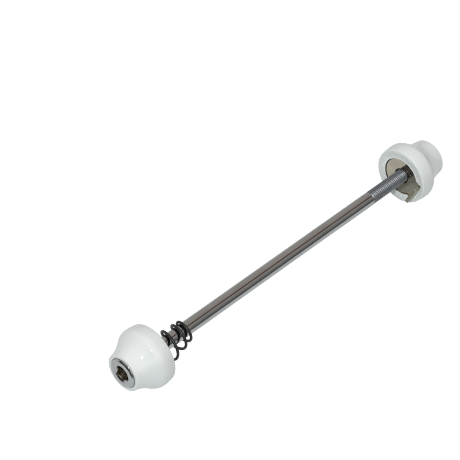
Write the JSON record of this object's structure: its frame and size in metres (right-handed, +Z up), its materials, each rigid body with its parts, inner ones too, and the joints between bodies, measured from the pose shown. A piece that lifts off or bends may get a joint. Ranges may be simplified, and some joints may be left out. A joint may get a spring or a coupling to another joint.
{
  "type": "bolt-on wheel skewer",
  "caption": "Slim wheel skewer: a steel hex-key bolt through a bell-shaped painted cap, with a tapered spring and a bell-shaped keyed nut that clamps the wheel in its frame slots.",
  "frame": {"origin": "centre of the cap's clamp face, on the rod's axis", "axes": "+Y along the rod from the cap to the nut, +Z up as the skewer lies on its two flanges"},
  "size_m": [0.0218, 0.1543, 0.0218],
  "materials": {
    "rod_steel": "polished bright steel, chromed socket head",
    "white_paint": "gloss white paint on turned aluminium",
    "washer_plate": "nickel plate, slightly warm",
    "spring_wire": "blackened spring wire"
  },
  "bodies": {
    "cap": {"head_cap": "white_paint", "spring": "spring_wire"},
    "bolt": {"skewer_rod": "rod_steel"},
    "nut": {"nut_body": "white_paint", "tab_washer": "washer_plate"}
  },
  "joints": [
    {"name": "bolt_turn", "type": "hinge", "parent": "cap", "child": "bolt", "pos_m": [0, 0, 0], "axis": [0, 1, 0], "range_deg": [-720.5, 6480.5]},
    {"name": "nut_travel", "type": "slide", "parent": "cap", "child": "nut", "axis": [0, 1, 0], "range_m": [-0.0144, 0.0016]}
  ],
  "couplings": [
    {"joint": "bolt_turn", "follows": "nut_travel", "rad_per_m": -7854}
  ]
}
